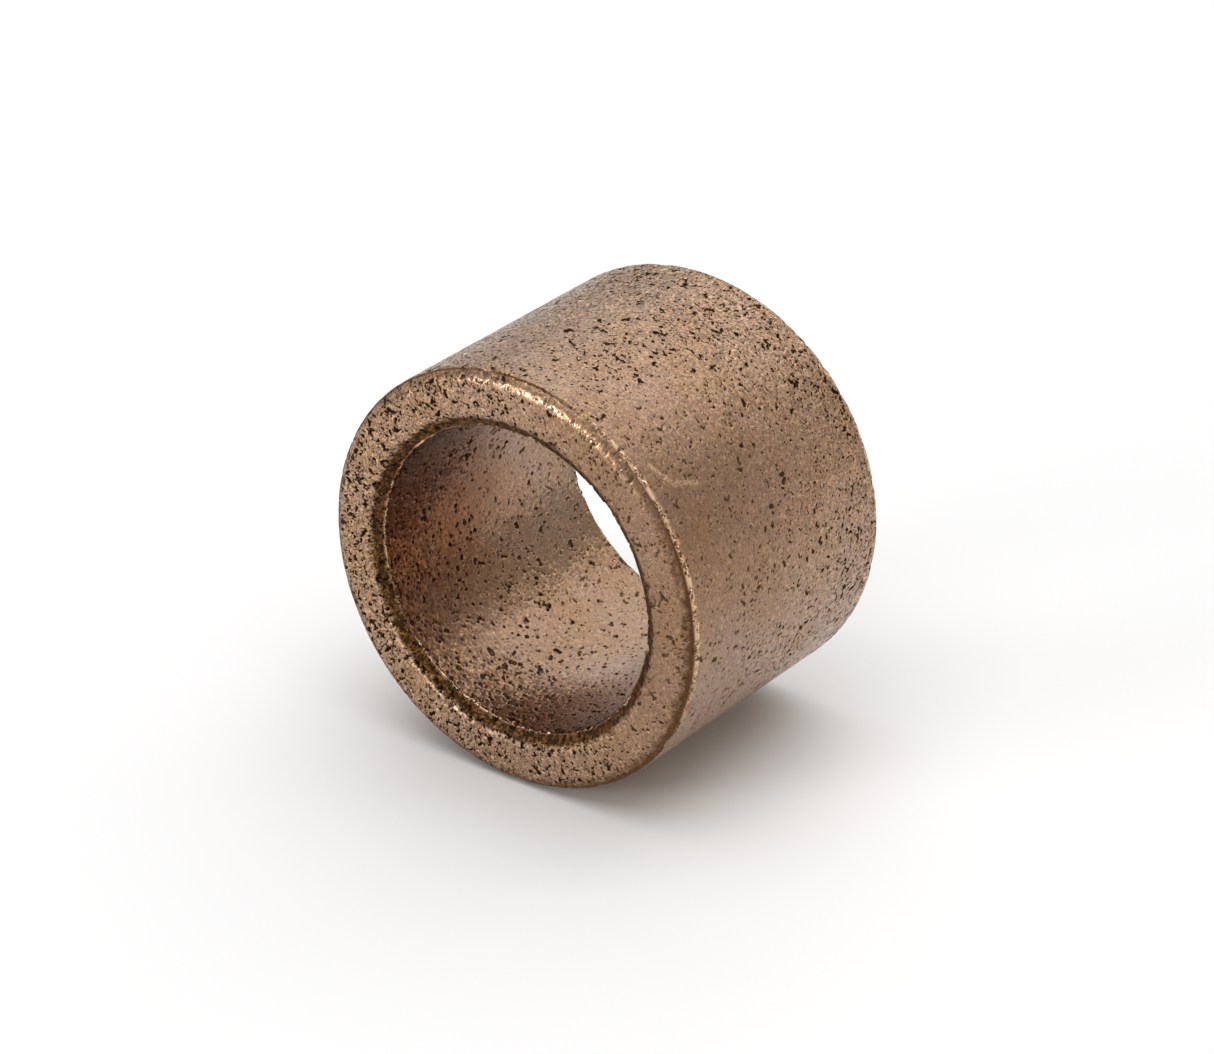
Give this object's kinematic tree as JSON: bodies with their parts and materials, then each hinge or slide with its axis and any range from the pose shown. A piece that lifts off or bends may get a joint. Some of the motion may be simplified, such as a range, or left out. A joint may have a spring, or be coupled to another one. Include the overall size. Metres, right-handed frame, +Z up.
{
  "type": "sleeve bushing",
  "caption": "Plain cylindrical sleeve bushing of porous sintered bronze, with a straight through bore and chamfered edges at both ends.",
  "frame": {"origin": "centre of the bore, halfway along the sleeve", "axes": "+Y along the bore axis, from the end nearer the viewer to the far end; +Z up, with the sleeve lying on its side; the sleeve is the same at both ends"},
  "size_m": [0.011, 0.008, 0.011],
  "materials": {
    "sintered_bronze": "pressed and sintered, open pores, satin and slightly oily"
  },
  "bodies": {
    "root": {"bushing": "sintered_bronze"}
  },
  "joints": []
}
